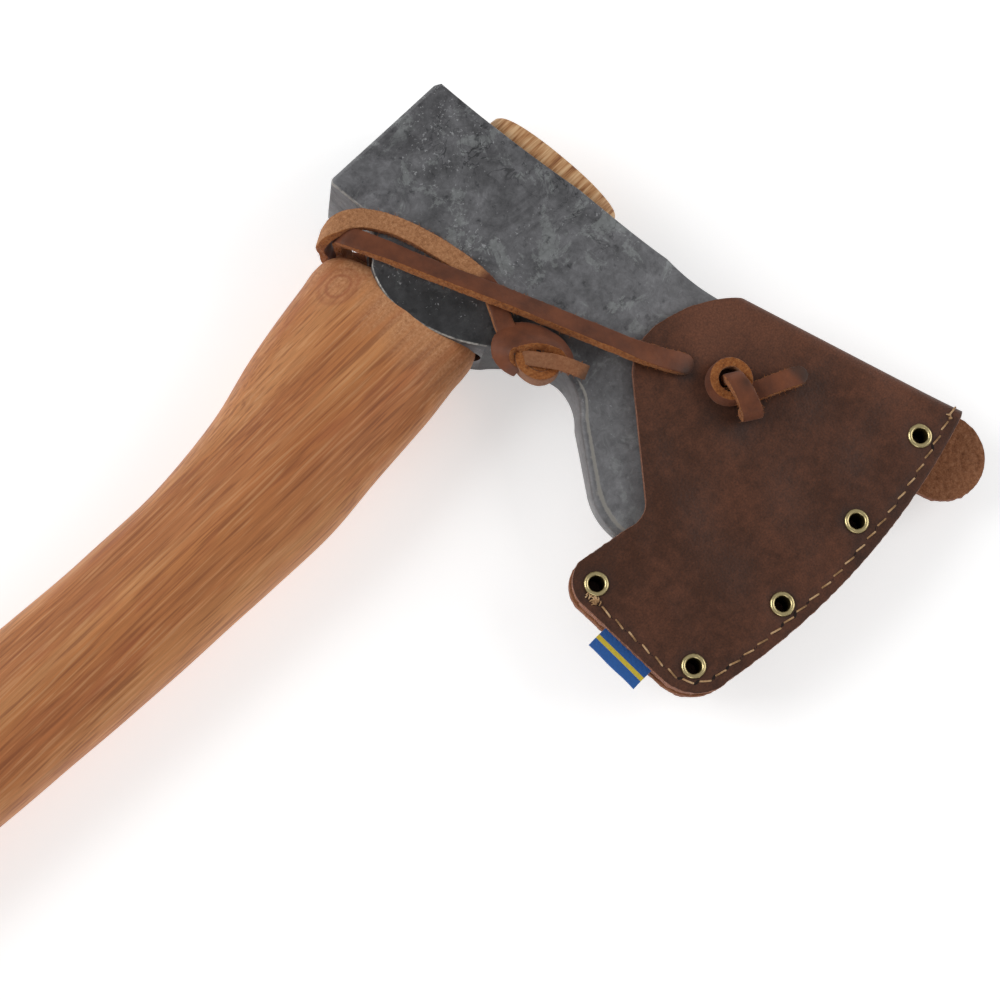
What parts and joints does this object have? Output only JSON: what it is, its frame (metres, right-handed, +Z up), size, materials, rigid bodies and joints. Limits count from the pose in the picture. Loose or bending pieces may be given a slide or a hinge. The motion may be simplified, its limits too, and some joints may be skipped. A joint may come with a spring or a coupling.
{
  "type": "hatchet",
  "caption": "Forged hatchet with a curved hickory handle and a stitched leather blade sheath that a leather lace ties to the head",
  "frame": {"origin": "middle of the bottom of the whole object's box, as it lies flat on its lower cheek", "axes": "+X along the handle towards the head, +Y towards the poll, -Y towards the cutting edge, +Z up from the surface it lies on"},
  "size_m": [0.5138, 0.172, 0.0344],
  "materials": {
    "forged_steel": "dark forge scale, satin, with worn bright edges",
    "wedge_steel": "zinc grey, satin",
    "hickory": "oiled, open grain",
    "wedge_wood": "bare",
    "sheath_leather": "waxed pull-up grain",
    "lace_leather": "oiled, suede back",
    "linen_thread": "waxed",
    "label_weave": "woven",
    "antique_brass": "antiqued, satin"
  },
  "bodies": {
    "axe": {"axe_head": "forged_steel", "handle": "hickory", "eye_wedge": "wedge_wood", "ring_wedge": "wedge_steel"},
    "sheath": {"sheath_shell": "sheath_leather", "welt": "sheath_leather", "belt_strap": "sheath_leather", "lace": "lace_leather", "lace_knot_sheath": "lace_leather", "lace_knot_neck": "lace_leather", "seam_thread_upper": "linen_thread", "seam_thread_lower": "linen_thread", "woven_label": "label_weave", "eyelet_1": "antique_brass", "eyelet_washer_1": "antique_brass", "eyelet_2": "antique_brass", "eyelet_washer_2": "antique_brass", "eyelet_3": "antique_brass", "eyelet_washer_3": "antique_brass", "eyelet_4": "antique_brass", "eyelet_washer_4": "antique_brass", "eyelet_5": "antique_brass", "eyelet_washer_5": "antique_brass", "strap_rivet_1": "antique_brass", "strap_rivet_2": "antique_brass", "strap_rivet_3": "antique_brass", "strap_rivet_4": "antique_brass"}
  },
  "joints": [
    {"name": "sheath_slide", "type": "slide", "parent": "axe", "child": "sheath", "axis": [0.3338, -0.9426, 0], "range_m": [0, 0.17], "deforming": ["lace", "lace_knot_neck"]}
  ]
}
